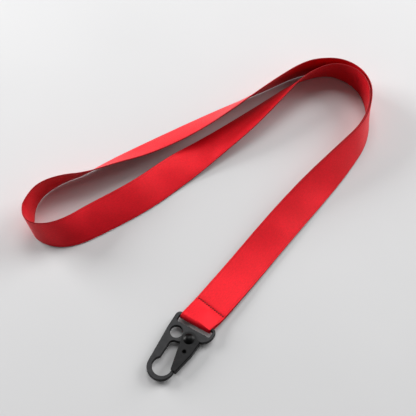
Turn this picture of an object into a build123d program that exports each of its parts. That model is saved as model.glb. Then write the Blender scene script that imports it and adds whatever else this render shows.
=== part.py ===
from build123d import *

import math
import os

# Neck lanyard: one satin ribbon with a half twist, both ends sewn to a flat snap hook, in
# millimetres. The origin is under the middle of the hook, which lies flat with its long axis
# along Y and its nose towards -Y. +Z is up, and the ribbon leaves the hook towards +Y.

# ribbon
RIBBON_WIDTH = 20.0
PLY = 0.7
PLY_GAP = 0.2
HALF_PAIR = (PLY + PLY_GAP) / 2
STATION_SPACING = 7.0
PAIRED_SHARE = 0.55
BEND_SHARE = 0.45

# sewn end of the ribbon
ROW_ADVANCE = 1.2
THREAD = 0.4
CONTACT_GAP = 0.05
JOINT_GAP = 0.03
STITCH_COUNT = 13
STITCH_PITCH = 1.42
STITCH_LENGTH = 1.05
FLAP_LENGTH = 8.7
FLAP_Z = THREAD + CONTACT_GAP + PLY / 2
PAIR_Z = FLAP_Z + PLY + 2 * CONTACT_GAP + HALF_PAIR
LIE_Z = PLY + PLY_GAP / 2 + CONTACT_GAP
EDGE_Z = 0.35

# hook plate
PLATE_BOTTOM = 1.25
PLATE_TOP = 3.95
HALF_WIDTH = 12.4
HALF_LENGTH = 20.0
RING_CORNER = 3.0
BAR_WIDTH = 1.9
BAR_Y = HALF_LENGTH - BAR_WIDTH / 2
BAR_Z = (PLATE_BOTTOM + PLATE_TOP) / 2
SLOT_X = 0.3
SLOT_WIDTH = 20.6
SLOT_BOTTOM = 14.2
SLOT_TOP = HALF_LENGTH - BAR_WIDTH
SLOT_CORNER = 0.7
RING_FOOT = (HALF_WIDTH, 15.6)
RING_FLARE = (11.3, 12.2)
SHOULDER = (7.8, 9.3)
HEEL_TURN = 50
LEDGE = (-4.2, 3.6)
LEDGE_BEND = (-6.0, 2.7)
NOTCH_TOP = (-6.7, 0.8)
NOTCH_FOOT = (-6.8, -7.9)
NOTCH_TOE = (-8.3, -9.8)
SPINE_TOP = (-HALF_WIDTH, 9)
HOLE = (-6.7, 8.5)
HOLE_RADIUS = 3.5
NOSE_OUTER = (-3.7, -12.4)
NOSE_OUTER_RADIUS = 7.6
NOSE_INNER = (-3.2, -11.9)
NOSE_INNER_RADIUS = 5.4
PLATE_EDGE = 0.4

# gate, a folded sheet that straddles the plate, and its pivot
PIVOT = (1.6, 7.9)
SHEET = 0.7
SHEET_GAP = 0.1
CHANNEL_BOTTOM = PLATE_BOTTOM - SHEET_GAP
CHANNEL_TOP = PLATE_TOP + SHEET_GAP
GATE_BOTTOM = CHANNEL_BOTTOM - SHEET
GATE_TOP = CHANNEL_TOP + SHEET
HEAD_RADIUS = 4.2
HEAD_ARC = (208, 110, 30)
HEEL_RADIUS = 4.5
GATE_TOE = (1.75, -11.5)
GATE_BROW = (7.3, 8.95)
GATE_SIDE = [(7.8, 8.5), (7.4, 1), (4.9, -10.9), (4.4, -11.4)]
GATE_BEND = 0.9 * SHEET
BEND_FROM_X = 5.5
BEND_BELOW_Y = 7
CHANNEL_OPEN_X = -9
CHANNEL_END_Y = 12.5
RIVET_RADIUS = 1.5
RIVET_FIT = 0.03
GATE_FIT = 0.08
HEAD_GAP = 0.05
RIVET_HEAD_RADIUS = 3.1
RIVET_TAIL_RADIUS = 2.5
DOME_HEIGHT = 1.25
PIN = (3.05, 0.5)
PIN_RADIUS = 1.35
PIN_BORE = 1.05
PIN_FIT = 0.02
PIN_RECESS = 0.15

# gate spring
WIRE_RADIUS = 0.25
COIL_RADIUS = 2.25
COIL_PITCH = 0.56
REACH_ANGLE = 17
COIL_TURNS = 1 + REACH_ANGLE / 360
COIL_Z = 2.65
POCKET_RADIUS = 2.8
POCKET_FLOOR = 2.3
LEG_SLOT = 1.2
RELIEF_SHIFT = (-0.5, -1)
ANCHOR_LENGTH = 2.5
REACH_LENGTH = 7.6

# fold of the ribbon round the ring bar
FOLD_RADIUS = 1.6 + PLY / 2
FOLD_WIDTH = 18.6
FOLD_X = -0.2
FOLD_STEPS = 6
OVER_RISE = 0.2
OVER_PITCH = 8

# Route of the ribbon's middle line: x, y, lean in degrees. The lean is how far the ribbon's
# left edge, looking along the route from the hook, stands above its right edge.
SEWN_RUN = [
    (2, 29.4, 0), (3.6, 38.6, 1), (7, 60, 7), (11.5, 90, 17), (17.5, 122, 32), (24.4, 153, 56),
    (28.6, 179, 77),
]
SEWN_POINTS = 2
OUTER_BEND = [(20.5, 203, 90), (9.5, 214, 90), (-3.5, 217.2, 88), (-16, 214.5, 80)]
INNER_BEND = [(20.2, 202.6, 90), (9.4, 213.4, 87), (-3, 215.8, 80), (-15, 212.8, 71)]
FAR_RUN = [
    (-29, 204.5, 76), (-41.6, 179.4, 67), (-54.8, 153.8, 48), (-69, 127, 34), (-84, 101, 35),
    (-96, 82, 48), (-105, 66, 59), (-114.3, 56.2, 69), (-121, 44, 80), (-121, 33, 90),
    (-118, 26.6, 99),
]
NEAR_RUN = [
    (-27.5, 196, 63), (-34.1, 172.5, 47), (-42, 148.3, 28), (-53.2, 120.5, 10), (-61, 97, -21),
    (-69, 71, -33), (-81.5, 46, -40), (-90, 27.5, -61), (-101.5, 18.3, -83),
    (-114.1, 18.3, -97), (-118, 26.6, -99),
]
OUTER_ROUTE = SEWN_RUN + OUTER_BEND + FAR_RUN
INNER_ROUTE = SEWN_RUN + INNER_BEND + NEAR_RUN


def route_points(route):
    """The route in space: the lower edge of the leaning ribbon stays on the floor."""
    points = []
    for index, (x, y, lean) in enumerate(route):
        flatness = math.cos(math.radians(lean)) ** 2
        base = PAIR_Z if index < SEWN_POINTS else EDGE_Z + (LIE_Z - EDGE_Z) * flatness
        points.append(Vector(x, y, base + RIBBON_WIDTH / 2 * abs(math.sin(math.radians(lean)))))
    return points


def bend_radii(points):
    """The largest arc that each corner's two runs allow."""
    radii = []
    for before, corner, after in zip(points, points[1:], points[2:]):
        run_in = corner - before
        run_out = after - corner
        half_turn = math.radians(run_in.get_angle(run_out)) / 2
        radii.append(BEND_SHARE * min(run_in.length, run_out.length) / math.tan(half_turn))
    return radii


def lean_at(route, share):
    """The lean at a share of the route's length, between the leans of its points."""
    points = route_points(route)
    runs = [(end - start).length for start, end in zip(points, points[1:])]
    left = share * sum(runs)
    for run, start, end in zip(runs, route, route[1:]):
        if left <= run:
            return start[2] + (end[2] - start[2]) * left / run
        left -= run
    return route[-1][2]


def ply_planes(path, route, shift):
    """Cross-section planes of one ply: X across the ribbon, Y through its thickness.

    The shift from the middle line fades out past the paired stretch, so the plies meet end to end.
    """
    count = round(path.length / STATION_SPACING)
    planes = []
    for step in range(count + 1):
        share = step / count
        along = path.tangent_at(share)
        left = Vector(0, 0, 1).cross(along).normalized()
        up = along.cross(left)
        lean = math.radians(lean_at(route, share))
        across = left * math.cos(lean) + up * math.sin(lean)
        through = along.cross(across)
        fade = min(1, (1 - share) / (1 - PAIRED_SHARE))
        origin = path.position_at(share) + through * shift * fade
        planes.append(Plane(origin=origin, x_dir=across, z_dir=along))
    return planes


def fold_plane(x, y, z, swing, turn=0):
    """A cross-section plane of the fold: swing is the way round the bar, turn is about Z."""
    swing = math.radians(swing)
    turn = math.radians(turn)
    along = Vector(
        math.sin(turn) * math.cos(swing), -math.cos(turn) * math.cos(swing), -math.sin(swing)
    )
    return Plane(origin=(x, y, z), x_dir=(math.cos(turn), math.sin(turn), 0), z_dir=along)


# ---------------------------------------------------------------- ribbon

outer_points = route_points(OUTER_ROUTE)
inner_points = route_points(INNER_ROUTE)
with BuildLine():
    outer_path = FilletPolyline(*outer_points, radius=bend_radii(outer_points))
with BuildLine():
    inner_path = FilletPolyline(*inner_points, radius=bend_radii(inner_points))
print("smallest radii", round(min(bend_radii(outer_points)), 1), round(min(bend_radii(inner_points)), 1))
print("outer length", round(outer_path.length, 1))
print("inner length", round(inner_path.length, 1))

with BuildPart() as ribbon_outer_ply:
    for plane in ply_planes(outer_path, OUTER_ROUTE, HALF_PAIR):
        with BuildSketch(plane):
            Rectangle(RIBBON_WIDTH, PLY)
    loft(ruled=True)

with BuildPart() as ribbon_inner_ply:
    for plane in ply_planes(inner_path, INNER_ROUTE, -HALF_PAIR):
        with BuildSketch(plane):
            Rectangle(RIBBON_WIDTH, PLY)
    loft(ruled=True)

# The fold runs from the sewn end over the bar, down through the slot and back under the bar
# to a cut end just past the stitches.
start_x, start_y, _ = SEWN_RUN[0]
row_angle = math.atan2(start_x - SEWN_RUN[1][0], SEWN_RUN[1][1] - start_y)
row_turn = math.degrees(row_angle)
row_x = start_x - ROW_ADVANCE * math.sin(row_angle)
row_y = start_y + ROW_ADVANCE * math.cos(row_angle)
half_x = (start_x + FOLD_X) / 2
half_y = (start_y + BAR_Y) / 2
flap_x = start_x - FLAP_LENGTH * math.sin(row_angle)
flap_y = start_y + FLAP_LENGTH * math.cos(row_angle)
half_width = (RIBBON_WIDTH + FOLD_WIDTH) / 2
top_z = PAIR_Z + HALF_PAIR
over_z = (top_z + BAR_Z + FOLD_RADIUS) / 2 + OVER_RISE
joint_x = start_x + JOINT_GAP * math.sin(row_angle)
joint_y = start_y - JOINT_GAP * math.cos(row_angle)
fold_sections = [
    (fold_plane(joint_x, joint_y, top_z, 0, row_turn), RIBBON_WIDTH),
    (fold_plane(half_x, half_y, over_z, -OVER_PITCH, row_turn / 2), half_width),
]
for step in range(FOLD_STEPS + 1):
    swing = 180 * step / FOLD_STEPS
    y = BAR_Y - FOLD_RADIUS * math.sin(math.radians(swing))
    z = BAR_Z + FOLD_RADIUS * math.cos(math.radians(swing))
    fold_sections.append((fold_plane(FOLD_X, y, z, swing), FOLD_WIDTH))
fold_sections += [
    (fold_plane(half_x, half_y, (FLAP_Z + BAR_Z - FOLD_RADIUS) / 2, 180, row_turn / 2), half_width),
    (fold_plane(start_x, start_y, FLAP_Z, 180, row_turn), RIBBON_WIDTH),
    (fold_plane(flap_x, flap_y, FLAP_Z, 180, row_turn), RIBBON_WIDTH),
]
with BuildPart() as ribbon_fold:
    for plane, width in fold_sections:
        with BuildSketch(plane):
            Rectangle(width, PLY)
    loft(ruled=True)


def stitch_plane(z):
    """The plane of one side of the stitch row, X along the row."""
    return Plane(origin=(row_x, row_y, z), x_dir=(math.cos(row_angle), math.sin(row_angle), 0))


needle_z = top_z + PLY / 2 + CONTACT_GAP + THREAD / 2
with BuildPart() as needle_thread:
    with Locations(stitch_plane(needle_z)):
        with GridLocations(STITCH_PITCH, 0, STITCH_COUNT, 1):
            Cylinder(THREAD / 2, STITCH_LENGTH, rotation=(0, 90, 0))

with BuildPart() as bobbin_thread:
    with Locations(stitch_plane(THREAD / 2)):
        with GridLocations(STITCH_PITCH, 0, STITCH_COUNT, 1):
            Cylinder(THREAD / 2, STITCH_LENGTH, rotation=(0, 90, 0))

# ---------------------------------------------------------------- hook plate

nose_end_y = NOSE_INNER[1]
nose_end_inner = (NOSE_INNER[0] + NOSE_INNER_RADIUS, nose_end_y)
nose_end_rise = nose_end_y - NOSE_OUTER[1]
nose_end_outer = (
    NOSE_OUTER[0] + math.sqrt(NOSE_OUTER_RADIUS**2 - nose_end_rise**2), nose_end_y,
)
heel_start = (
    PIVOT[0] + math.sqrt(HEEL_RADIUS**2 - (SHOULDER[1] - PIVOT[1]) ** 2), SHOULDER[1],
)
heel_foot = (PIVOT[0], PIVOT[1] - HEEL_RADIUS)
heel_end = (
    PIVOT[0] - HEEL_RADIUS * math.cos(math.radians(HEEL_TURN)),
    PIVOT[1] - HEEL_RADIUS * math.sin(math.radians(HEEL_TURN)),
)

with BuildPart() as hook_body:
    with BuildSketch(Plane.XY.offset(PLATE_BOTTOM)):
        with BuildLine():
            Line((-HALF_WIDTH + RING_CORNER, HALF_LENGTH), (HALF_WIDTH - RING_CORNER, HALF_LENGTH))
            RadiusArc(
                (HALF_WIDTH - RING_CORNER, HALF_LENGTH), (HALF_WIDTH, HALF_LENGTH - RING_CORNER),
                RING_CORNER,
            )
            Line((HALF_WIDTH, HALF_LENGTH - RING_CORNER), RING_FOOT)
            ThreePointArc(RING_FOOT, RING_FLARE, SHOULDER)
            Line(SHOULDER, heel_start)
            ThreePointArc(heel_start, heel_foot, heel_end)
            Line(heel_end, LEDGE)
            ThreePointArc(LEDGE, LEDGE_BEND, NOTCH_TOP)
            Line(NOTCH_TOP, NOTCH_FOOT)
            Line(NOTCH_FOOT, NOTCH_TOE)
            ThreePointArc(
                NOTCH_TOE, (NOSE_INNER[0], NOSE_INNER[1] - NOSE_INNER_RADIUS), nose_end_inner
            )
            Line(nose_end_inner, nose_end_outer)
            ThreePointArc(
                nose_end_outer, (NOSE_OUTER[0], NOSE_OUTER[1] - NOSE_OUTER_RADIUS),
                (NOSE_OUTER[0] - NOSE_OUTER_RADIUS, NOSE_OUTER[1]),
            )
            Line((NOSE_OUTER[0] - NOSE_OUTER_RADIUS, NOSE_OUTER[1]), SPINE_TOP)
            Line(SPINE_TOP, (-HALF_WIDTH, HALF_LENGTH - RING_CORNER))
            RadiusArc(
                (-HALF_WIDTH, HALF_LENGTH - RING_CORNER), (-HALF_WIDTH + RING_CORNER, HALF_LENGTH),
                RING_CORNER,
            )
        make_face()
        with Locations((SLOT_X, (SLOT_BOTTOM + SLOT_TOP) / 2)):
            RectangleRounded(SLOT_WIDTH, SLOT_TOP - SLOT_BOTTOM, SLOT_CORNER, mode=Mode.SUBTRACT)
        with Locations(HOLE):
            Circle(HOLE_RADIUS, mode=Mode.SUBTRACT)
    extrude(amount=PLATE_TOP - PLATE_BOTTOM)
    plate_faces = hook_body.faces().filter_by(Plane.XY)
    fillet(plate_faces.edges(), PLATE_EDGE)
    with Locations((*PIVOT, PLATE_TOP)):
        Hole(RIVET_RADIUS + RIVET_FIT)
    with BuildSketch(Plane.XY.offset(POCKET_FLOOR)):
        with Locations(PIVOT):
            Circle(POCKET_RADIUS)
        with Locations((PIVOT[0] - COIL_RADIUS, PIVOT[1] + ANCHOR_LENGTH / 2)):
            Rectangle(LEG_SLOT, ANCHOR_LENGTH + LEG_SLOT / 2)
    extrude(amount=PLATE_TOP - POCKET_FLOOR, mode=Mode.SUBTRACT)
    with BuildSketch(Plane.XY.offset(COIL_Z + WIRE_RADIUS)):
        relief_x = PIVOT[0] + RELIEF_SHIFT[0]
        relief_y = PIVOT[1] - HEEL_RADIUS / 2 + RELIEF_SHIFT[1]
        with Locations(Location((relief_x, relief_y), REACH_ANGLE)):
            Rectangle(2 * LEG_SLOT, HEEL_RADIUS)
    extrude(amount=PLATE_TOP - COIL_Z, mode=Mode.SUBTRACT)

# ---------------------------------------------------------------- gate and its pivot


def head_point(degrees):
    """A point on the gate's round head."""
    angle = math.radians(degrees)
    return (PIVOT[0] + HEAD_RADIUS * math.cos(angle), PIVOT[1] + HEAD_RADIUS * math.sin(angle))


head_start, head_crown, head_end = [head_point(degrees) for degrees in HEAD_ARC]
wall_inside = [(x - SHEET, y) for x, y in GATE_SIDE]

with BuildPart() as gate_shell:
    with BuildSketch(Plane.XY.offset(GATE_BOTTOM)):
        with BuildLine():
            Line(GATE_TOE, head_start)
            ThreePointArc(head_start, head_crown, head_end)
            Polyline(head_end, GATE_BROW, *GATE_SIDE, GATE_TOE)
        make_face()
    extrude(amount=GATE_TOP - GATE_BOTTOM)
    fold_edges = gate_shell.edges().filter_by(GeomType.LINE).filter_by(Axis.Z, reverse=True)
    fold_edges = fold_edges.filter_by(
        lambda edge: edge.center().X > BEND_FROM_X and edge.center().Y < BEND_BELOW_Y
    )
    fillet(fold_edges, GATE_BEND)
    with BuildSketch(Plane.XY.offset(CHANNEL_BOTTOM)):
        with BuildLine():
            Polyline(
                (wall_inside[0][0], CHANNEL_END_Y), *wall_inside,
                (wall_inside[-1][0], -CHANNEL_END_Y), (CHANNEL_OPEN_X, -CHANNEL_END_Y),
                (CHANNEL_OPEN_X, CHANNEL_END_Y), (wall_inside[0][0], CHANNEL_END_Y),
            )
        make_face()
    extrude(amount=CHANNEL_TOP - CHANNEL_BOTTOM, mode=Mode.SUBTRACT)
    with Locations((*PIVOT, GATE_TOP)):
        Hole(RIVET_RADIUS + GATE_FIT)
    with Locations((*PIN, GATE_TOP)):
        Hole(PIN_RADIUS + PIN_FIT)

with BuildPart() as spring_pin:
    with BuildSketch(Plane.XY.offset(GATE_BOTTOM)):
        with Locations(PIN):
            Circle(PIN_RADIUS)
            Circle(PIN_BORE, mode=Mode.SUBTRACT)
    extrude(amount=GATE_TOP - GATE_BOTTOM - PIN_RECESS)

head_seat = GATE_TOP + HEAD_GAP
tail_seat = GATE_BOTTOM - HEAD_GAP
dome_radius = (RIVET_HEAD_RADIUS**2 + DOME_HEIGHT**2) / (2 * DOME_HEIGHT)
with BuildPart() as pivot_rivet:
    with Locations((*PIVOT, head_seat + DOME_HEIGHT - dome_radius)):
        Sphere(dome_radius)
    split(bisect_by=Plane.XY.offset(head_seat))
    with BuildSketch(Plane.XY):
        with Locations(PIVOT):
            Circle(RIVET_TAIL_RADIUS)
    extrude(amount=tail_seat)
    with BuildSketch(Plane.XY):
        with Locations(PIVOT):
            Circle(RIVET_RADIUS)
    extrude(amount=head_seat)

coil = Helix(COIL_PITCH, COIL_PITCH * COIL_TURNS, COIL_RADIUS, center=(*PIVOT, COIL_Z))
coil = coil.rotate(Axis((*PIVOT, 0), (0, 0, 1)), 180)
reach_target = Vector(PIN[0] - PIN_RADIUS - WIRE_RADIUS, PIN[1], (coil @ 1).Z)
with BuildPart() as gate_spring:
    with BuildSketch(Plane(origin=coil @ 0, z_dir=coil % 0)):
        Circle(WIRE_RADIUS)
    sweep(path=coil, is_frenet=True)
    with BuildSketch(Plane(origin=coil @ 0, z_dir=(0, 1, 0))):
        Circle(WIRE_RADIUS)
    extrude(amount=ANCHOR_LENGTH)
    with BuildSketch(Plane(origin=coil @ 1, z_dir=reach_target - coil @ 1)):
        Circle(WIRE_RADIUS)
    extrude(amount=REACH_LENGTH)

# ---------------------------------------------------------------- export

sub_parts = {
    "ribbon_outer_ply": ribbon_outer_ply,
    "ribbon_inner_ply": ribbon_inner_ply,
    "ribbon_fold": ribbon_fold,
    "needle_thread": needle_thread,
    "bobbin_thread": bobbin_thread,
    "hook_body": hook_body,
    "gate_shell": gate_shell,
    "spring_pin": spring_pin,
    "pivot_rivet": pivot_rivet,
    "gate_spring": gate_spring,
}
os.makedirs("parts", exist_ok=True)
for name, sub_part in sub_parts.items():
    sub_part.part.label = name
    export_step(sub_part.part, f"parts/{name}.step")
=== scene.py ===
import math

import bpy
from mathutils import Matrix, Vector


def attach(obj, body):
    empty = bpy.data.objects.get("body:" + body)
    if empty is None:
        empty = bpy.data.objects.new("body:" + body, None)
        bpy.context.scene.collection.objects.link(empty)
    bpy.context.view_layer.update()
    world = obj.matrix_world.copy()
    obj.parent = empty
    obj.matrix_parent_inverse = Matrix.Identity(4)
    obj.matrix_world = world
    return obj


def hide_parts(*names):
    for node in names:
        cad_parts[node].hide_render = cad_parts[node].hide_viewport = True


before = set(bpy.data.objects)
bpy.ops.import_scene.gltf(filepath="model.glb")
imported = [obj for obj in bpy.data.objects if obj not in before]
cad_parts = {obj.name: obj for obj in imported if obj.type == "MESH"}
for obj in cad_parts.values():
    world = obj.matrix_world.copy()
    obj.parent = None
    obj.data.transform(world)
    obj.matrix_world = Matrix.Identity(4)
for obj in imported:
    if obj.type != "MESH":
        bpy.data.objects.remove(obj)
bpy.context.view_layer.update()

# Looks of the neck lanyard: the satin ribbon, its fold round the hook's bar, the stitches,
# and the paint of the hook. Metres, in the frame of the CAD model.

MM = 0.001

# ribbon; the two plies lie together for the paired share of their length
RIBBON_WIDTH = 20 * MM
PLY = 0.7 * MM
PLY_GAP = 0.2 * MM
HALF_PAIR = (PLY + PLY_GAP) / 2
PAIRED_SHARE = 0.55
SPLINE_STEPS = 24

# ribbon's section: a corded selvedge, as (distance from the edge, share of half the thickness)
SELVEDGE = 1.1 * MM
SELVEDGE_SHAPE = [
    (0, 0.16), (0.05 * MM, 0.62), (0.2 * MM, 0.95), (0.5 * MM, 1.04), (0.85 * MM, 0.98),
    (SELVEDGE, 0.86), (SELVEDGE + 0.25 * MM, 0.98),
]
CLOTH_STEPS = 16

# the cloth's gentle unevenness: two waves along the ribbon
WAVE = 0.22 * MM
WAVE_LENGTH = 64 * MM
WAVE_START = 1.1
SHORT_WAVE = 0.6
SHORT_WAVE_PACE = 2.3
SHORT_WAVE_START = 0.4

# how the standing part settles on the floor, by share of a ply's length and in stations
SETTLE_FROM = 0.3
SETTLE_TO = 0.45
SETTLE_SPAN = 30
END_SHARE = 0.05
FLOOR_GAP = 0.12 * MM

# sewn end
CONTACT_GAP = 0.05 * MM
THREAD = 0.4 * MM
FLAP_Z = THREAD + CONTACT_GAP + PLY / 2
PAIR_Z = FLAP_Z + PLY + 2 * CONTACT_GAP + HALF_PAIR
LIE_Z = PLY + PLY_GAP / 2 + CONTACT_GAP
EDGE_Z = 0.35 * MM
STITCH_COUNT = 13
STITCH_PITCH = 1.42 * MM
STITCH_LENGTH = 0.8 * MM
ROW_ADVANCE = 1.2 * MM
STITCH_WIDTH = 0.62 * MM
STITCH_RINGS = 18
STITCH_SIDES = 12
STITCH_DIVE = 0.75
STRAND_BULGE = 0.16
STRAND_TWIST = 4.5
STITCH_END = 0.12
STITCH_LIFT = 0.08 * MM
ROW_DIP = 0.18 * MM
ROW_DIP_REACH = 0.7 * MM
ROW_STEPS = 8
FLAP_LENGTH = 8.7 * MM

# fold round the bar
BAR_Y = 19.05 * MM
BAR_Z = 2.6 * MM
FOLD_RADIUS = 1.6 * MM + PLY / 2
FOLD_WIDTH = 18.6 * MM
FOLD_X = -0.2 * MM
FOLD_STEP = 15
OVER_RISE = 0.35 * MM
OVER_WIDTH = 19.1 * MM

# weave, and how far the painted shade beside the selvedge reaches
RIB_PITCH = 0.36 * MM
END_PITCH = 0.30 * MM
GROOVE_SHADE_REACH = 0.45 * MM

# camera: it looks down at a point on the floor; lens and sensor in millimetres
CAMERA_AT = (0.0877, -0.1208, 0.3986)
CAMERA_AIM = (-0.032, 0.0866, 0.0)
CAMERA_LENS = 67.15
CAMERA_SENSOR = 36

# stage: area lights as (name, place, aim, size, power in watts)
FLOOR_HALF = 3
LIGHTS = [
    ("key", (-0.34, 0.78, 1.25), (-0.04, 0.1, 0.0), 0.8, 9.2),
    ("left", (-1.05, 0.05, 0.35), (-0.06, 0.1, 0.0), 0.6, 14.0),
    ("right", (1.05, 0.3, 0.4), (-0.02, 0.12, 0.0), 0.6, 1.2),
    ("back", (0.45, 1.1, 0.5), (-0.02, 0.12, 0.0), 0.8, 14.0),
]
ROOM_STRENGTH = 0.12

# Route of the ribbon's middle line, as in the CAD source: x, y in millimetres, lean in degrees.
# The lean is how far the ribbon's left edge, looking along the route from the hook, stands
# above its right edge.
SEWN_RUN = [
    (2, 29.4, 0), (3.6, 38.6, 1), (7, 60, 7), (11.5, 90, 17), (17.5, 122, 32), (24.4, 153, 56),
    (28.6, 179, 77),
]
SEWN_POINTS = 2
OUTER_BEND = [(20.5, 203, 90), (9.5, 214, 90), (-3.5, 217.2, 88), (-16, 214.5, 80)]
INNER_BEND = [(20.2, 202.6, 90), (9.4, 213.4, 87), (-3, 215.8, 80), (-15, 212.8, 71)]
FAR_RUN = [
    (-29, 204.5, 76), (-41.6, 179.4, 67), (-54.8, 153.8, 48), (-69, 127, 34), (-84, 101, 35),
    (-96, 82, 48), (-105, 66, 59), (-114.3, 56.2, 69), (-121, 44, 80), (-121, 33, 90),
    (-118, 26.6, 99),
]
NEAR_RUN = [
    (-27.5, 196, 63), (-34.1, 172.5, 47), (-42, 148.3, 28), (-53.2, 120.5, 10), (-61, 97, -21),
    (-69, 71, -33), (-81.5, 46, -40), (-90, 27.5, -61), (-101.5, 18.3, -83),
    (-114.1, 18.3, -97), (-118, 26.6, -99),
]
OUTER_ROUTE = SEWN_RUN + OUTER_BEND + FAR_RUN
INNER_ROUTE = SEWN_RUN + INNER_BEND + NEAR_RUN


# ---------------------------------------------------------------- camera


def make_camera():
    """The camera, above and in front of the hook."""
    data = bpy.data.cameras.new("camera")
    data.lens = CAMERA_LENS
    data.sensor_width = CAMERA_SENSOR
    camera = bpy.data.objects.new("camera", data)
    bpy.context.collection.objects.link(camera)
    camera.location = CAMERA_AT
    aim = Vector(CAMERA_AIM) - Vector(CAMERA_AT)
    camera.rotation_euler = aim.to_track_quat("-Z", "Y").to_euler()
    bpy.context.scene.camera = camera


# ---------------------------------------------------------------- mesh helpers


def mesh_object(name, points, faces, uvs=None):
    """A smooth-shaded mesh object with sharp end caps.

    The UV map, if any, holds the cloth's own coordinates: across the ribbon and along it, in metres.
    """
    mesh = bpy.data.meshes.new(name)
    mesh.from_pydata([tuple(point) for point in points], [], faces)
    if uvs is not None:
        layer = mesh.uv_layers.new(name="cloth")
        for loop in mesh.loops:
            layer.data[loop.index].uv = uvs[loop.vertex_index]
    mesh.validate()
    mesh.shade_smooth()
    caps = [polygon for polygon in mesh.polygons if len(polygon.vertices) > 4]
    rims = {key for cap in caps for key in cap.edge_keys}
    for edge in mesh.edges:
        edge.use_edge_sharp = edge.key in rims
    piece = bpy.data.objects.new(name, mesh)
    bpy.context.collection.objects.link(piece)
    return piece


def smooth_line(name, points):
    """Points along the NURBS spline that has the given control points."""
    curve = bpy.data.curves.new(name, "CURVE")
    curve.dimensions = "3D"
    spline = curve.splines.new("NURBS")
    spline.points.add(len(points) - 1)
    for control, point in zip(spline.points, points):
        control.co = (*point, 1)
    spline.order_u = 3
    spline.use_endpoint_u = True
    spline.resolution_u = SPLINE_STEPS
    holder = bpy.data.objects.new(name, curve)
    bpy.context.collection.objects.link(holder)
    bpy.context.view_layer.update()
    mesh = bpy.data.meshes.new_from_object(holder)
    line = [vertex.co.copy() for vertex in mesh.vertices]
    bpy.data.objects.remove(holder)
    bpy.data.meshes.remove(mesh)
    return line


def tangents(line):
    """Unit direction of the line at each of its points."""
    found = []
    for index in range(len(line)):
        before = line[max(index - 1, 0)]
        after = line[min(index + 1, len(line) - 1)]
        found.append((after - before).normalized())
    return found


def lengths(line):
    """Distance along the line to each of its points."""
    found = [0.0]
    for start, end in zip(line, line[1:]):
        found.append(found[-1] + (end - start).length)
    return found


def ribbon_profile(width):
    """The ribbon's section as (across, half thickness): a flat cloth with corded selvedges."""
    edge = [(width / 2 - inset, share) for inset, share in SELVEDGE_SHAPE]
    cloth = edge[-1][0]
    section = [(-across, share) for across, share in edge]
    section += [(cloth * (2 * step / CLOTH_STEPS - 1), 1.0) for step in range(1, CLOTH_STEPS)]
    section += list(reversed(edge))
    return [(across, share * PLY / 2) for across, share in section]


def ribbon_mesh(name, stations):
    """A closed ribbon through its stations.

    A station is (centre, across, through, width, dip of the stitch row, length along the ribbon).
    """
    points = []
    uvs = []
    faces = []
    end = stations[-1][5]
    for centre, across, through, width, dip, along in stations:
        section = ribbon_profile(width)
        for side in (1, -1):
            for offset, half in (section if side > 0 else reversed(section)):
                sunk = side * half - dip * (side > 0)
                crown = wave(along, end) * math.cos(math.pi * offset / width)
                points.append(centre + across * offset + through * (sunk + crown))
                uvs.append((offset, along))
    ring = len(points) // len(stations)
    for row in range(len(stations) - 1):
        for index in range(ring):
            here = row * ring + index
            beside = row * ring + (index + 1) % ring
            faces.append((here, beside, beside + ring, here + ring))
    last = (len(stations) - 1) * ring
    faces.append(tuple(range(ring - 1, -1, -1)))
    faces.append(tuple(last + index for index in range(ring)))
    return mesh_object(name, points, faces, uvs)


# ---------------------------------------------------------------- ribbon


def route_points(route):
    """The route in space: the lower edge of the leaning ribbon stays close to the floor."""
    points = []
    for index, (x, y, lean) in enumerate(route):
        flatness = math.cos(math.radians(lean)) ** 2
        base = PAIR_Z if index < SEWN_POINTS else EDGE_Z + (LIE_Z - EDGE_Z) * flatness
        rise = RIBBON_WIDTH / 2 * abs(math.sin(math.radians(lean)))
        points.append((x * MM, y * MM, base + rise))
    return points


def row_dip(distance):
    """How far the stitches pull the cloth down, at a distance from their row."""
    return ROW_DIP * math.exp(-((distance / ROW_DIP_REACH) ** 2))


def wave(along, end):
    """The cloth's gentle unevenness, at a length along the ribbon; none at the ribbon's ends."""
    turn = 2 * math.pi * along / WAVE_LENGTH
    fade = max(0, min(1, along / WAVE_LENGTH, (end - along) / WAVE_LENGTH))
    short = SHORT_WAVE * math.sin(SHORT_WAVE_PACE * turn + SHORT_WAVE_START)
    return WAVE * fade * (math.sin(turn + WAVE_START) + short)


def settle(stations):
    """Moves the standing part of a ply up or down until its lower edge all but touches the floor."""
    lows = [
        centre.z - (abs(across.z) * RIBBON_WIDTH + abs(through.z) * PLY) / 2
        for centre, across, through, *_ in stations
    ]
    spans = [slice(max(0, index - SETTLE_SPAN), index + SETTLE_SPAN + 1) for index in range(len(lows))]
    least = [min(lows[span]) for span in spans]
    for station, span, low in zip(stations, spans, lows):
        share = station[5] / stations[-1][5]
        smooth = sum(least[span]) / len(least[span])
        at_end = max(0, 1 - (1 - share) / END_SHARE)
        settled = min(1, max(0, (share - SETTLE_FROM) / (SETTLE_TO - SETTLE_FROM)))
        station[0].z -= settled * (smooth + (low - smooth) * at_end - FLOOR_GAP)


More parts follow.
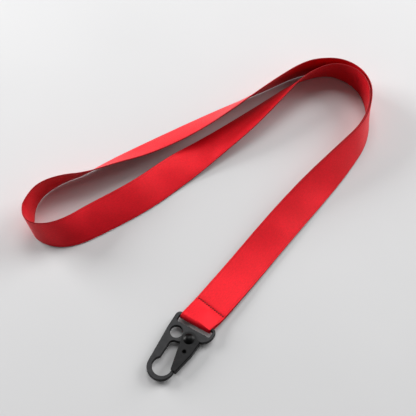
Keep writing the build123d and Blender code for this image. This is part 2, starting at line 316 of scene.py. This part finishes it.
def make_ply(name, route, shift):
    """One ply of the ribbon along its route, and the line that it follows."""
    middle = smooth_line(f"{name}_line", route_points(route))
    leans = smooth_line(f"{name}_lean", [(lean, 0, 0) for _, _, lean in route])
    along = lengths(middle)
    ahead = tangents(middle)
    ahead[-1] = Vector((ahead[-1].x, ahead[-1].y, 0)).normalized()
    stations = []
    for point, forward, lean, reach in zip(middle, ahead, leans, along):
        left = Vector((0, 0, 1)).cross(forward).normalized()
        up = forward.cross(left)
        angle = math.radians(lean.x)
        across = left * math.cos(angle) + up * math.sin(angle)
        through = forward.cross(across)
        share = reach / along[-1]
        fade = min(1, (1 - share) / (1 - PAIRED_SHARE))
        centre = point + through * (shift * fade)
        stations.append((centre, across, through, RIBBON_WIDTH, 0, reach))
    settle(stations)
    line = [station[0] for station in stations]
    if shift > 0:
        stations = [station for station in stations if station[5] > ROW_ADVANCE]
        stations = from_row(stations)
    return ribbon_mesh(name, stations), line


def from_row(stations):
    """The top ply's stations from the stitch row on, close together in the row's valley."""
    first, second = stations[0], stations[1]
    ahead = (second[0] - first[0]).normalized()
    fine = []
    for step in range(ROW_STEPS):
        reach = ROW_ADVANCE + (first[5] - ROW_ADVANCE) * step / ROW_STEPS
        centre = first[0] - ahead * (first[5] - reach)
        fine.append((centre, first[1], first[2], RIBBON_WIDTH, row_dip(reach - ROW_ADVANCE), reach))
    for centre, across, through, width, _, reach in stations:
        fine.append((centre, across, through, width, row_dip(reach - ROW_ADVANCE), reach))
    return fine


def row_frame():
    """The stitch row's middle, its direction along the row, and the ribbon's direction there."""
    start = Vector((SEWN_RUN[0][0] * MM, SEWN_RUN[0][1] * MM, 0))
    after = Vector((SEWN_RUN[1][0] * MM, SEWN_RUN[1][1] * MM, 0))
    forward = (after - start).normalized()
    return start + forward * ROW_ADVANCE, forward.cross(Vector((0, 0, 1))), forward


def make_fold():
    """The fold: from the sewn end over the bar, through the slot, and back under the seam."""
    middle, turn, forward = row_frame()
    start = middle - forward * ROW_ADVANCE
    top_z = PAIR_Z + HALF_PAIR
    knots = [
        (middle.x, middle.y, top_z, RIBBON_WIDTH),
        (start.x, start.y, top_z, RIBBON_WIDTH),
    ]
    over = start.lerp(Vector((FOLD_X, BAR_Y, 0)), 0.5)
    knots.append((over.x, over.y, (top_z + BAR_Z + FOLD_RADIUS) / 2 + OVER_RISE, OVER_WIDTH))
    for degrees in range(0, 181, FOLD_STEP):
        swing = math.radians(degrees)
        y = BAR_Y - FOLD_RADIUS * math.sin(swing)
        z = BAR_Z + FOLD_RADIUS * math.cos(swing)
        knots.append((FOLD_X, y, z, FOLD_WIDTH))
    knots.append((over.x, over.y, (FLAP_Z + BAR_Z - FOLD_RADIUS) / 2, OVER_WIDTH))
    knots.append((start.x, start.y, FLAP_Z, RIBBON_WIDTH))
    flap_end = start + forward * FLAP_LENGTH
    knots.append((flap_end.x, flap_end.y, FLAP_Z, RIBBON_WIDTH))
    line = smooth_line("fold_line", [knot[:3] for knot in knots])
    widths = smooth_line("fold_width", [(knot[3], 0, 0) for knot in knots])
    along = lengths(line)
    stations = []
    for point, ahead, width, reach in zip(line, tangents(line), widths, along):
        nearness = min(1, max(0, (point.y - BAR_Y) / (start.y - BAR_Y)))
        side = Vector((-1, 0, 0)).lerp(-turn, nearness)
        side = (side - ahead * side.dot(ahead)).normalized()
        through = side.cross(ahead)
        stations.append((point, side, through, width.x, row_dip(reach), ROW_ADVANCE - reach))
    return ribbon_mesh("strap_fold", stations)


# ---------------------------------------------------------------- stitches


def stitch(points, faces, centre, across, down):
    """Adds one two-strand stitch whose ends dive into the cloth."""
    first = len(points)
    side = across.cross(down)
    for ring in range(STITCH_RINGS + 1):
        share = 2 * ring / STITCH_RINGS - 1
        dive = STITCH_DIVE * STITCH_WIDTH * abs(share) ** 3
        spine = centre + across * (share * STITCH_LENGTH / 2) + down * dive
        for step in range(STITCH_SIDES):
            angle = 2 * math.pi * step / STITCH_SIDES
            strand = 1 + STRAND_BULGE * math.cos(2 * (angle - STRAND_TWIST * share))
            taper = math.sqrt(max(STITCH_END, 1 - abs(share) ** 6))
            radius = STITCH_WIDTH / 2 * strand * taper
            points.append(spine + side * (radius * math.cos(angle)) + down * (radius * math.sin(angle)))
    for ring in range(STITCH_RINGS):
        for step in range(STITCH_SIDES):
            here = first + ring * STITCH_SIDES + step
            beside = first + ring * STITCH_SIDES + (step + 1) % STITCH_SIDES
            faces.append((here, beside, beside + STITCH_SIDES, here + STITCH_SIDES))
    last = first + STITCH_RINGS * STITCH_SIDES
    faces.append(tuple(first + step for step in range(STITCH_SIDES - 1, -1, -1)))
    faces.append(tuple(last + step for step in range(STITCH_SIDES)))


def make_stitches(name, height, down):
    """One side of the row of lockstitches; down is +1 or -1, the way their ends dive along Z."""
    middle, across, _ = row_frame()
    points = []
    faces = []
    for index in range(STITCH_COUNT):
        place = (index - (STITCH_COUNT - 1) / 2) * STITCH_PITCH
        centre = middle + across * place + Vector((0, 0, height))
        stitch(points, faces, centre, across, Vector((0, 0, down)))
    return mesh_object(name, points, faces)


# ---------------------------------------------------------------- materials


def new_material(name):
    """A node material, its nodes, links and shader."""
    material = bpy.data.materials.new(name)
    material.use_nodes = True
    nodes = material.node_tree.nodes
    return material, nodes, material.node_tree.links, nodes["Principled BSDF"]


def noise(nodes, links, source, scale, detail=3.0, stretch=None):
    """A noise texture's value, at a scale in features for each metre, or stretched by axis."""
    texture = nodes.new("ShaderNodeTexNoise")
    texture.inputs["Scale"].default_value = scale
    texture.inputs["Detail"].default_value = detail
    if stretch:
        mapping = nodes.new("ShaderNodeMapping")
        mapping.inputs["Scale"].default_value = stretch
        links.new(source, mapping.inputs["Vector"])
        source = mapping.outputs["Vector"]
    links.new(source, texture.inputs["Vector"])
    return texture.outputs["Fac"]


def ramp(nodes, links, value, stops):
    """A colour ramp of (place, colour) stops on a value."""
    node = nodes.new("ShaderNodeValToRGB")
    elements = node.color_ramp.elements
    while len(elements) < len(stops):
        elements.new(0.5)
    for element, (place, colour) in zip(elements, stops):
        element.position = place
        element.color = (*colour, 1)
    links.new(value, node.inputs["Fac"])
    return node.outputs["Color"]


def math_node(nodes, links, operation, first, second=None):
    """A math node on sockets or numbers."""
    node = nodes.new("ShaderNodeMath")
    node.operation = operation
    for socket, value in zip(node.inputs, (first, second)):
        if value is None:
            continue
        if isinstance(value, (int, float)):
            socket.default_value = value
        else:
            links.new(value, socket)
    return node.outputs["Value"]


def wavy(nodes, links, value, pitch):
    """A sine wave of the given pitch along a value in metres."""
    turns = math_node(nodes, links, "MULTIPLY", value, 2 * math.pi / pitch)
    return math_node(nodes, links, "SINE", turns)


def map_range(nodes, links, value, low, high):
    """A value of 0 to 1 spread over low to high."""
    node = nodes.new("ShaderNodeMapRange")
    node.inputs["To Min"].default_value = low
    node.inputs["To Max"].default_value = high
    links.new(value, node.inputs["Value"])
    return node.outputs["Result"]


def add_bump(nodes, links, shader, height, strength, distance):
    """Bumps of a height value on a shader's surface."""
    bump = nodes.new("ShaderNodeBump")
    bump.inputs["Strength"].default_value = strength
    bump.inputs["Distance"].default_value = distance
    links.new(height, bump.inputs["Height"])
    links.new(bump.outputs["Normal"], shader.inputs["Normal"])


def multiply(nodes, links, first, second):
    """The product of two colours."""
    node = nodes.new("ShaderNodeMix")
    node.data_type = "RGBA"
    node.blend_type = "MULTIPLY"
    node.inputs["Factor"].default_value = 1.0
    links.new(first, node.inputs["A"])
    links.new(second, node.inputs["B"])
    return node.outputs["Result"]


def satin_cloth():
    """Smooth woven polyester: fine weft ribs, a corded selvedge, and a satin sheen."""
    material, nodes, links, shader = new_material("satin_ribbon")
    place = nodes.new("ShaderNodeUVMap")
    place.uv_map = "cloth"
    parts = nodes.new("ShaderNodeSeparateXYZ")
    links.new(place.outputs["UV"], parts.inputs["Vector"])
    across, along = parts.outputs["X"], parts.outputs["Y"]

    cloud = noise(nodes, links, place.outputs["UV"], 70.0, 2.0)
    grain = noise(nodes, links, place.outputs["UV"], 1.0, 3.0, (1500.0, 700.0, 1.0))
    slub = noise(nodes, links, place.outputs["UV"], 1.0, 2.0, (4200.0, 260.0, 1.0))
    tone = ramp(nodes, links, cloud, [(0.3, (0.74, 0.0035, 0.0125)), (0.7, (0.82, 0.0045, 0.0165))])
    uneven = math_node(nodes, links, "ADD", math_node(nodes, links, "MULTIPLY", slub, 0.4),
                       math_node(nodes, links, "MULTIPLY", grain, 0.6))
    streak = ramp(nodes, links, uneven, [(0.36, (0.82, 0.82, 0.82)), (0.62, (1.0, 1.0, 1.0))])
    cloth = multiply(nodes, links, tone, streak)

    # painted shade: the colour is darker in the groove beside the selvedge, and darker still at the
    # very edge
    edge = math_node(nodes, links, "ABSOLUTE", across)
    offset = math_node(nodes, links, "SUBTRACT", edge, RIBBON_WIDTH / 2 - SELVEDGE)
    distance = math_node(nodes, links, "ABSOLUTE", offset)
    nearness = math_node(nodes, links, "DIVIDE", distance, GROOVE_SHADE_REACH)
    groove_shade = ramp(nodes, links, nearness, [(0.0, (0.80, 0.80, 0.80)), (1.0, (1.0, 1.0, 1.0))])
    outward = math_node(nodes, links, "DIVIDE", edge, RIBBON_WIDTH / 2)
    edge_shade = ramp(nodes, links, outward, [(0.96, (1.0, 1.0, 1.0)), (0.99, (0.42, 0.42, 0.42))])
    cloth = multiply(nodes, links, multiply(nodes, links, cloth, groove_shade), edge_shade)
    links.new(cloth, shader.inputs["Base Color"])

    # weft ribs across, warp ends along
    ribs = wavy(nodes, links, along, RIB_PITCH)
    ends = wavy(nodes, links, across, END_PITCH)
    weave = math_node(nodes, links, "MULTIPLY", ribs, ends)
    height = math_node(nodes, links, "ADD", math_node(nodes, links, "MULTIPLY", weave, 0.6), ribs)
    height = math_node(nodes, links, "ADD", height, math_node(nodes, links, "MULTIPLY", uneven, 3.0))
    add_bump(nodes, links, shader, height, 0.35, 0.03 * MM)

    links.new(map_range(nodes, links, cloud, 0.42, 0.56), shader.inputs["Roughness"])
    shader.inputs["Metallic"].default_value = 0.4
    shader.inputs["Specular IOR Level"].default_value = 0.3
    shader.inputs["Anisotropic"].default_value = 0.4
    shader.inputs["Sheen Weight"].default_value = 0.05
    shader.inputs["Sheen Roughness"].default_value = 0.4
    shader.inputs["Sheen Tint"].default_value = (1.0, 0.45, 0.5, 1)
    return material


def sewing_thread():
    """Darker red twisted polyester thread."""
    material, nodes, links, shader = new_material("red_thread")
    place = nodes.new("ShaderNodeTexCoord").outputs["Object"]
    fibres = noise(nodes, links, place, 6000.0, 4.0)
    colour = ramp(nodes, links, fibres, [(0.3, (0.07, 0.0012, 0.002)), (0.7, (0.13, 0.002, 0.004))])
    links.new(colour, shader.inputs["Base Color"])
    add_bump(nodes, links, shader, fibres, 0.4, 0.02 * MM)
    shader.inputs["Roughness"].default_value = 0.6
    return material


def black_paint(name, low, high, rough_low, rough_high, gloss, grain=0.035):
    """Matt black powder paint over metal: orange peel, and painted shade that leaves the steep side
    walls far darker than the flat faces.

    The grain is the depth of the orange peel in millimetres.
    """
    material, nodes, links, shader = new_material(name)
    place = nodes.new("ShaderNodeTexCoord").outputs["Object"]
    mottle = noise(nodes, links, place, 420.0, 4.0)
    peel = noise(nodes, links, place, 3200.0, 3.0)
    cool = 1.05
    stops = [(0.35, (low, low, low * cool)), (0.7, (high, high, high * cool))]
    colour = ramp(nodes, links, mottle, stops)
    # painted shade: faces that stand steep are darkened almost to black, and flat faces keep their
    # colour
    normal = nodes.new("ShaderNodeSeparateXYZ")
    links.new(nodes.new("ShaderNodeTexCoord").outputs["Normal"], normal.inputs["Vector"])
    flat = math_node(nodes, links, "ABSOLUTE", normal.outputs["Z"])
    wall_shade = ramp(nodes, links, flat, [(0.75, (0.03, 0.03, 0.03)), (0.99, (1.0, 1.0, 1.0))])
    links.new(multiply(nodes, links, colour, wall_shade), shader.inputs["Base Color"])
    links.new(map_range(nodes, links, mottle, rough_low, rough_high), shader.inputs["Roughness"])
    add_bump(nodes, links, shader, peel, 0.5, grain * MM)
    shader.inputs["Specular IOR Level"].default_value = gloss
    return material


def spring_steel():
    """Drawn spring wire: bright steel with fine lines in its tone."""
    material, nodes, links, shader = new_material("spring_wire")
    place = nodes.new("ShaderNodeTexCoord").outputs["Object"]
    lines = noise(nodes, links, place, 5200.0, 4.0)
    colour = ramp(nodes, links, lines, [(0.3, (0.30, 0.30, 0.32)), (0.7, (0.46, 0.46, 0.48))])
    links.new(colour, shader.inputs["Base Color"])
    shader.inputs["Metallic"].default_value = 1.0
    links.new(map_range(nodes, links, lines, 0.25, 0.42), shader.inputs["Roughness"])
    return material


def paint_node(node, material):
    """Gives a CAD node its material."""
    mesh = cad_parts[node].data
    mesh.materials.clear()
    mesh.materials.append(material)


def cover(piece, material):
    """Gives a new piece its material and its body."""
    piece.data.materials.append(material)
    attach(piece, "strap")


# ---------------------------------------------------------------- stage


def make_floor():
    """A plain pale table top."""
    corners = [
        (-FLOOR_HALF, -FLOOR_HALF, 0), (FLOOR_HALF, -FLOOR_HALF, 0),
        (FLOOR_HALF, FLOOR_HALF, 0), (-FLOOR_HALF, FLOOR_HALF, 0),
    ]
    floor = mesh_object("floor", corners, [(0, 1, 2, 3)])
    material, nodes, links, shader = new_material("pale_table")
    place = nodes.new("ShaderNodeTexCoord").outputs["Object"]
    cloud = noise(nodes, links, place, 12.0, 2.0)
    colour = ramp(nodes, links, cloud, [(0.3, (0.605, 0.605, 0.61)), (0.7, (0.62, 0.62, 0.625))])
    links.new(colour, shader.inputs["Base Color"])
    shader.inputs["Roughness"].default_value = 0.75
    floor.data.materials.append(material)


def area_light(name, place, aim, size, power):
    """A square soft light."""
    data = bpy.data.lights.new(name, "AREA")
    data.shape = "SQUARE"
    data.size = size
    data.energy = power
    light = bpy.data.objects.new(name, data)
    bpy.context.collection.objects.link(light)
    light.location = place
    light.rotation_euler = (Vector(aim) - Vector(place)).to_track_quat("-Z", "Y").to_euler()


def make_lights():
    """A soft light high behind, others low behind and at both sides, and a dim room."""
    for light in LIGHTS:
        area_light(*light)
    world = bpy.data.worlds.new("room")
    world.use_nodes = True
    background = world.node_tree.nodes["Background"]
    background.inputs["Color"].default_value = (1, 1, 1, 1)
    background.inputs["Strength"].default_value = ROOM_STRENGTH
    bpy.context.scene.world = world


# ---------------------------------------------------------------- the lanyard

make_camera()
bpy.context.scene.view_settings.view_transform = "Standard"

satin = satin_cloth()
thread = sewing_thread()

outer_ply, outer_line = make_ply("strap_outer_ply", OUTER_ROUTE, HALF_PAIR)
inner_ply, inner_line = make_ply("strap_inner_ply", INNER_ROUTE, -HALF_PAIR)
strap_fold = make_fold()
needle_row = make_stitches("needle_stitches", PAIR_Z + HALF_PAIR + PLY / 2 + STITCH_LIFT, -1)
bobbin_row = make_stitches("bobbin_stitches", THREAD / 2, 1)

cover(outer_ply, satin)
cover(inner_ply, satin)
cover(strap_fold, satin)
cover(needle_row, thread)
cover(bobbin_row, thread)
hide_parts("ribbon_outer_ply")
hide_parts("ribbon_inner_ply")
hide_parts("ribbon_fold")
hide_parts("needle_thread")
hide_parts("bobbin_thread")

plate_paint = black_paint("plate_paint", 0.024, 0.036, 0.36, 0.46, 0.17)
gate_paint = black_paint("gate_paint", 0.008, 0.014, 0.40, 0.50, 0.16, grain=0.02)
rivet_paint = black_paint("rivet_paint", 0.001, 0.002, 0.3, 0.4, 0.14, grain=0.01)
wire = spring_steel()
paint_node("hook_body", plate_paint)
paint_node("gate_shell", gate_paint)
paint_node("pivot_rivet", rivet_paint)
paint_node("spring_pin", rivet_paint)
paint_node("gate_spring", wire)

make_floor()
make_lights()
